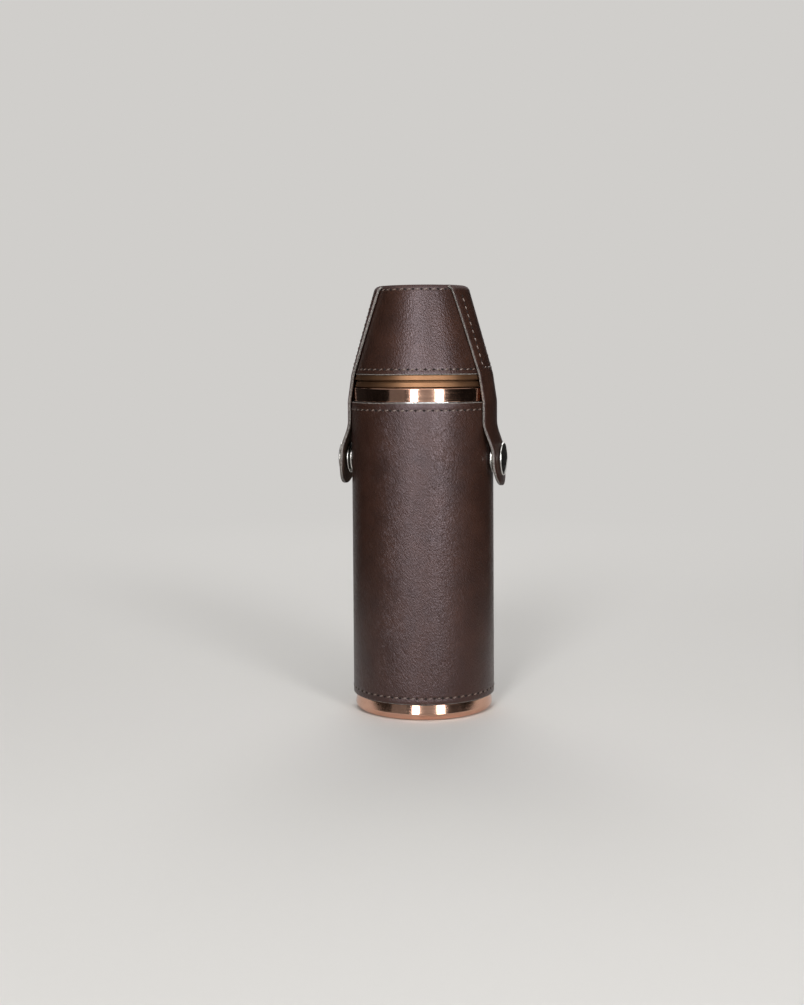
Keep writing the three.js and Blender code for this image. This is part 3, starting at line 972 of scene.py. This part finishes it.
for side, sign in sides.items():
    half_mesh = strap_mesh()
    turned = Matrix.Rotation(0 if sign > 0 else pi, 3, "Z")
    bmesh.ops.rotate(half_mesh, matrix=turned, verts=half_mesh.verts)
    lay_flat(half_mesh, strap_flat)
    strap_nodes = ["strap_over_hood", "strap_end_" + side]
    half = add_piece("leather_strap_" + side, half_mesh, hood_finishes, None, strap_nodes)
    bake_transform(half)

# %% [markdown]
# Each strap end is held by a press stud of nickel-plated brass: a domed cap outside the strap, a socket
# behind it, and a stud on the sleeve. They are turned like the big pieces, about Z first, and then tipped
# over to point outwards, so the same three sections serve both sides.

# %% Sections of the press studs
cap_foot = strap_inner(snap_height) + strap_thickness
cap_edge = 0.45
cap_dome = 0.9
post_radius = 1.2
socket_hole = 2.5
stud_low, stud_top, stud_radius = stud_part("snap_stud_right")
stud_foot = stud_low - fit
stud_flange = 0.5
flange_face = stud_foot + fit + stud_flange
stud_head = 2.2
stud_waist = 1.9
small_round = 0.2
dome_rings = 8

dome = []
for i in range(1, dome_rings + 1):
    radius = (cap_radius - cap_edge) * (1 - i / dome_rings)
    rise = 1 - (radius / (cap_radius - cap_edge)) ** 2
    dome.append((radius, cap_top - cap_dome + cap_dome * rise))
cap_section = [
    (0, cap_low),
    (post_radius, cap_low),
    (post_radius, cap_foot),
    *arc(cap_radius - cap_edge, cap_foot + cap_edge, cap_edge, -90, 80, 8),
    *dome,
]
socket_section = [
    *rounded(socket_hole, socket_low, small_round, 180, 3),
    *rounded(socket_radius, socket_low, small_round, -90, 3),
    *rounded(socket_radius, socket_high, small_round, 0, 3),
    *rounded(socket_hole, socket_high, small_round, 90, 3),
]
stud_section = [
    (0, stud_foot),
    *rounded(stud_radius, stud_foot, small_round, -90, 3),
    *rounded(stud_radius, flange_face, small_round, 0, 3),
    (stud_waist, flange_face),
    *arc(stud_head - 2 * small_round, stud_top - 2 * small_round, 2 * small_round, -20, 90, 5),
    (0, stud_top),
]
print("press stud cap:", round(2 * cap_radius, 2), "mm wide")

# %% [markdown]
# The cap and the socket ride the strap end, and the stud stays on the flask. The socket is a ring, so its
# section is closed.

# %% Press studs
small_steps = 64


def tipped_out(section, closed, sign):
    """A small turned piece that points out along X, at the height of the press studs."""
    bm = lathe(section, closed=closed, steps=small_steps)
    turn = Matrix.Rotation(sign * pi / 2, 4, "Y")
    bmesh.ops.transform(bm, matrix=Matrix.Translation((0, 0, snap_height * mm)) @ turn, verts=bm.verts)
    return bm


for side, sign in sides.items():
    parts = (
        ("domed_cap_", cap_section, False, "strap_" + side, "snap_cap_"),
        ("press_socket_", socket_section, True, "strap_" + side, "snap_socket_"),
        ("press_stud_", stud_section, False, "flask", "snap_stud_"),
    )
    for name, section, closed, body, node in parts:
        add_piece(name + side, tipped_out(section, closed, sign), [nickel], body, [node + side])

# %% [markdown]
# The sewing is real thread, so every stitch is a small rounded bar whose ends sink into the leather, with a
# needle hole at each end, drawn as a flat bead whose near-black colour is painted shade. One stitch and one
# hole are shaped once and copied along the rows, and each row is one mesh. Stitches lie slightly aslant, as
# hand sewing with an awl leaves them.

# %% One stitch and one needle hole
stitch_pitch = 3.2
stitch_length = 2.3
stitch_radius = 0.28
stitch_slant = radians(18)
stitch_sink = 0.34
hole_width = 0.55
hole_squash = (0.22, 0.8, 1)
# The needle-hole beads take the second finish of a row, their painted shade.
painted_shade_index = 1
thread_finishes = [thread, needle_hole_shade]


def stitch_template():
    """A thread lying along Z, with its top towards X and its ends bent down."""
    bm = bmesh.new()
    bmesh.ops.create_uvsphere(bm, u_segments=6, v_segments=5, radius=stitch_radius * mm)
    half_straight = (stitch_length / 2 - stitch_radius) * mm
    for vert in bm.verts:
        vert.co.z += half_straight if vert.co.z > 0 else -half_straight
    long_edges = [edge for edge in bm.edges if edge.calc_length() > half_straight]
    bmesh.ops.subdivide_edges(bm, edges=long_edges, cuts=3, use_grid_fill=True)
    for vert in bm.verts:
        vert.co.x -= stitch_sink * mm * (vert.co.z / half_straight) ** 2
    return new_mesh("stitch", bm)


def hole_template():
    """A flat bead that lies in the surface, facing X; its near-black colour is painted shade for a needle
    hole.
    """
    bm = bmesh.new()
    bmesh.ops.create_uvsphere(bm, u_segments=6, v_segments=4, radius=hole_width * mm)
    bmesh.ops.scale(bm, vec=hole_squash, verts=bm.verts)
    for face in bm.faces:
        face.material_index = painted_shade_index
    return new_mesh("needle_hole_shade", bm)


stitch_shape = stitch_template()
hole_shape = hole_template()
print("stitch:", len(stitch_shape.polygons), "faces, needle hole:", len(hole_shape.polygons), "faces")

# %% [markdown]
# A sewn row is holes and stitches in turn, so a place with an even number gets a hole and one with an odd
# number gets a stitch. The pitch is rounded so that a whole number of stitches goes round. The hood's rows
# leave out the places that the strap covers.

# %% Rows of stitches
def lay(bm, i, point, outward, along):
    """Lays a hole or a stitch on a surface point, with its length along the row."""
    first = len(bm.verts)
    bm.from_mesh(stitch_shape if i % 2 else hole_shape)
    bm.verts.ensure_lookup_table()
    sideways = along.cross(outward)
    turned = Matrix((outward, sideways, along)).transposed().to_4x4()
    slanted = Matrix.Rotation(stitch_slant * (i % 2), 4, "X")
    place = Matrix.Translation(point * mm) @ turned @ slanted
    bmesh.ops.transform(bm, matrix=place, verts=bm.verts[first:])


def ring_of_stitches(radius, height, tilt=0.0, left_out=lambda point: False):
    """A sewn row round the axis; tilt is how far the surface leans back from upright."""
    bm = bmesh.new()
    count = round(full_turn * radius / stitch_pitch)
    for i in range(2 * count):
        angle = full_turn * i / (2 * count)
        flat = Vector((cos(angle), sin(angle), 0))
        point = flat * radius + Vector((0, 0, height))
        if left_out(point):
            continue
        outward = flat * cos(tilt) + Vector((0, 0, sin(tilt)))
        along = Vector((-sin(angle), cos(angle), 0))
        lay(bm, i, point, outward, along)
    return bm


def under_strap(point):
    return abs(point.y) < notch_half


for name, height in zip(("lower", "upper"), sleeve_rows):
    row = ring_of_stitches(sleeve_radius - dip_depth, height)
    add_piece(f"sleeve_{name}_stitches", row, thread_finishes, "flask")

for name, height in zip(("lower", "upper"), hood_rows):
    row = ring_of_stitches(hood_radius(height) - dip_depth, height, cone_angle, under_strap)
    add_piece(f"hood_{name}_stitches", row, thread_finishes, "hood")

# %% [markdown]
# The strap is sewn to the hood along both of its long sides and once across, just above the hood's lower
# edge, so that it is free to bend below the last stitches. These rows lie on its face and ride the hood.

# %% Stitches that hold the strap to the hood
strap_margin = 2.8
strap_face = (fit + strap_thickness) / cos(cone_angle)
strap_row_top = hood_rows[1] - 2.5
strap_row_bottom = hood_rows[0] + 0.6


def strap_place(y, height, sign):
    """A point on the strap's face over the hood, with its outward and downhill directions."""
    radius = hood_radius(height) + strap_face
    x = sign * sqrt(radius * radius - y * y)
    flat = Vector((x, y, 0)) / radius
    outward = flat * cos(cone_angle) + Vector((0, 0, sin(cone_angle)))
    downhill = flat * sin(cone_angle) - Vector((0, 0, cos(cone_angle)))
    return Vector((x, y, height)), outward, downhill


strap_line = strap_half - strap_margin
half_stitches = round((strap_row_top - strap_row_bottom) / cos(cone_angle) / stitch_pitch) * 2
cross_stitches = round(2 * strap_line / stitch_pitch) * 2
for side, sign in sides.items():
    rows = bmesh.new()
    for y in (-strap_line, strap_line):
        for i in range(half_stitches + 1):
            height = strap_row_top + (strap_row_bottom - strap_row_top) * i / half_stitches
            point, outward, downhill = strap_place(y, height, sign)
            lay(rows, i, point, outward, downhill)
    for i in range(1, cross_stitches):
        y = strap_line * (2 * i / cross_stitches - 1)
        point, outward, downhill = strap_place(y, strap_row_bottom, sign)
        lay(rows, i, point, outward, outward.cross(downhill))
    add_piece("strap_stitches_" + side, rows, thread_finishes, "hood")

# %% [markdown]
# A few pieces are hidden or right as they are: the vessel's tube under the sleeve, the stopper's liner and
# washer, and the posts of the press studs. They keep their own meshes and only get better finishes.

# %% Finishes for the pieces that stay
kept = {
    "body_tube": steel,
    "stopper_liner": steel,
    "seal_washer": rubber,
    "snap_post_right": nickel,
    "snap_post_left": nickel,
}
for node, finish in kept.items():
    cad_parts[node].material_slots[0].material = finish
print("kept nodes:", ", ".join(kept))

# %% [markdown]
# The stage is a pale paper floor that fades into an equally pale surround, so no horizon shows from any
# side. The fade is in the floor's finish: far from the flask it turns into plain light, but only for rays
# from the camera and from shiny surfaces, so it lights nothing that is matt.

# %% Floor
surround_colour = linear("#d0cecb")
floor_radius = 0.95
floor_drop = 0.05
fade_from, fade_to = 0.2, 0.7


def seen_directly(tree):
    """One for rays from the camera, mirrors and glass, and nothing for the rays that light things."""
    path = add(tree, "LightPath").outputs
    two = add(tree, "Math", {0: path["Is Camera Ray"], 1: path["Is Glossy Ray"]}, operation="ADD")
    kinds = {0: two, 1: path["Is Transmission Ray"]}
    return add(tree, "Math", kinds, operation="ADD", use_clamp=True)


def pale_floor():
    finish, tree, place = new_finish("pale_paper_floor")
    away = add(tree, "VectorMath", {0: place}, operation="LENGTH")
    fade = add(tree, "MapRange", {
        "Value": away,
        "From Min": fade_from,
        "From Max": fade_to,
    }, interpolation_type="SMOOTHSTEP")
    both = add(tree, "Math", {0: fade, 1: seen_directly(tree)}, operation="MULTIPLY")
    paper = add(tree, "BsdfDiffuse", {"Color": surround_colour})
    glow = add(tree, "Emission", {"Color": surround_colour})
    mixed = add(tree, "MixShader", {0: both, 1: paper, 2: glow})
    add(tree, "OutputMaterial", {"Surface": mixed})
    return finish


def stage_mesh(name, bm, finish):
    """A part of the stage, which is no piece of the flask."""
    mesh = new_mesh(name, bm)
    mesh.materials.append(finish)
    thing = new_object(name, mesh)
    return thing


floor_mesh = bmesh.new()
bmesh.ops.create_circle(floor_mesh, cap_ends=True, segments=plain_steps, radius=floor_radius)
bmesh.ops.translate(floor_mesh, vec=(0, 0, -floor_drop * mm), verts=floor_mesh.verts)
stage_mesh("floor", floor_mesh, pale_floor())
print("floor reaches", floor_radius, "m")

# %% [markdown]
# The surround has two strengths in the same way. It looks as pale as the floor, but it lights the flask only
# faintly, so that the lamps make the shading.

# %% Surround
ambient_strength = 0.1

world = bpy.data.worlds.new("studio")
bpy.context.scene.world = world
world.use_nodes = True
sky = world.node_tree
sky.nodes.clear()
air = add(sky, "Background", {"Color": linear("#fffdfa"), "Strength": ambient_strength})
view = add(sky, "Background", {"Color": surround_colour})
chosen = add(sky, "MixShader", {0: seen_directly(sky), 1: air, 2: view})
add(sky, "OutputWorld", {"Surface": chosen})
print("surround:", len(sky.nodes), "nodes")

# %% [markdown]
# Cards of black felt stand round the stage and close by on both sides, as a photographer sets them for
# polished metal, because a mirror with nothing dark to show looks flat. Only shiny surfaces see them, so
# they are out of the picture, and they keep no light from the floor.

# %% Dark cards for the mirror finishes
card_steps = 48
felt = matt_finish("black_felt", "#0a0a0a", "#161514", fibre_size=0.6)


def facing(azimuth, distance, height):
    """A place round the flask; azimuth is counted in degrees, as the camera's is."""
    angle = radians(azimuth)
    return Vector((sin(angle) * distance, -cos(angle) * distance, height))


def dark_card(name, start, end, distance, height):
    """A standing card, bent round the flask from one azimuth to another."""
    bm = bmesh.new()
    corners = [bm.verts.new(facing(start, distance, level)) for level in (0, height)]
    edge = bm.edges.new(corners)
    turn = radians(end - start)
    bmesh.ops.spin(bm, geom=corners + [edge], axis=(0, 0, 1), angle=turn, steps=card_steps)
    card = stage_mesh(name, bm, felt)
    card.visible_camera = False
    card.visible_diffuse = False
    card.visible_shadow = False
    print("card:", name, end - start, "degrees round, at", distance, "m")


dark_card("far_card", start=-150, end=178, distance=1.25, height=1.2)
dark_card("left_card", start=-125, end=-45, distance=0.2, height=0.24)
dark_card("right_card", start=75, end=160, distance=0.2, height=0.24)

# %% [markdown]
# The light is a studio's: weak wide panels in front and to the left, two tall strips that light the leather
# and make the white streaks on the collar, and panels behind and overhead, so that no side is left dark.
# Each strip has a twin that lights nothing matt and only strengthens the shine on leather and copper.
# A lamp's power spreads over its area, so each is given by how bright its face is.

# %% Lamps
aim = Vector((0, 0, 0.085))
strip_distance = 1.05
strip_foot = -0.1
glint_brightness = 18.0


def soft_box(name, azimuth, distance, height, width, tall, brightness, lights_matt=True):
    """A rectangular lamp that faces the flask; its sides are in metres."""
    lamp = bpy.data.lights.new(name, "AREA")
    lamp.shape = "RECTANGLE"
    lamp.size = width
    lamp.size_y = tall
    lamp.energy = brightness * pi * width * tall
    box = new_object(name, lamp)
    box.location = facing(azimuth, distance, height)
    box.rotation_mode = "QUATERNION"
    box.rotation_quaternion = (aim - box.location).to_track_quat("-Z", "Y")
    box.visible_camera = False
    box.visible_diffuse = lights_matt
    print("lamp:", name, round(lamp.energy, 2), "W")


soft_box("front_panel", azimuth=20, distance=1.1, height=0.4, width=1.6, tall=1.0, brightness=0.33)
soft_box("side_panel", azimuth=-28, distance=1.1, height=0.4, width=0.58, tall=1.0, brightness=0.17)
strips = (("left", 0.3, 0.22, 1.0, 11.0), ("right", 41.6, 0.24, 0.68, 12.5))
for name, azimuth, width, top, brightness in strips:
    setting = (azimuth, strip_distance, (top + strip_foot) / 2, width, top - strip_foot)
    soft_box(name + "_strip", *setting, brightness)
    soft_box(name + "_glint", *setting, glint_brightness, lights_matt=False)
soft_box("back_panel", azimuth=196, distance=0.9, height=0.8, width=0.9, tall=0.9, brightness=3.5)
soft_box("top_panel", azimuth=18, distance=0.25, height=1.3, width=0.9, tall=0.9, brightness=1.5)

# %% [markdown]
# The colours were picked for the plain sRGB look, so the Standard view shows them as they are.

# %% View settings
bpy.context.scene.view_settings.view_transform = "Standard"
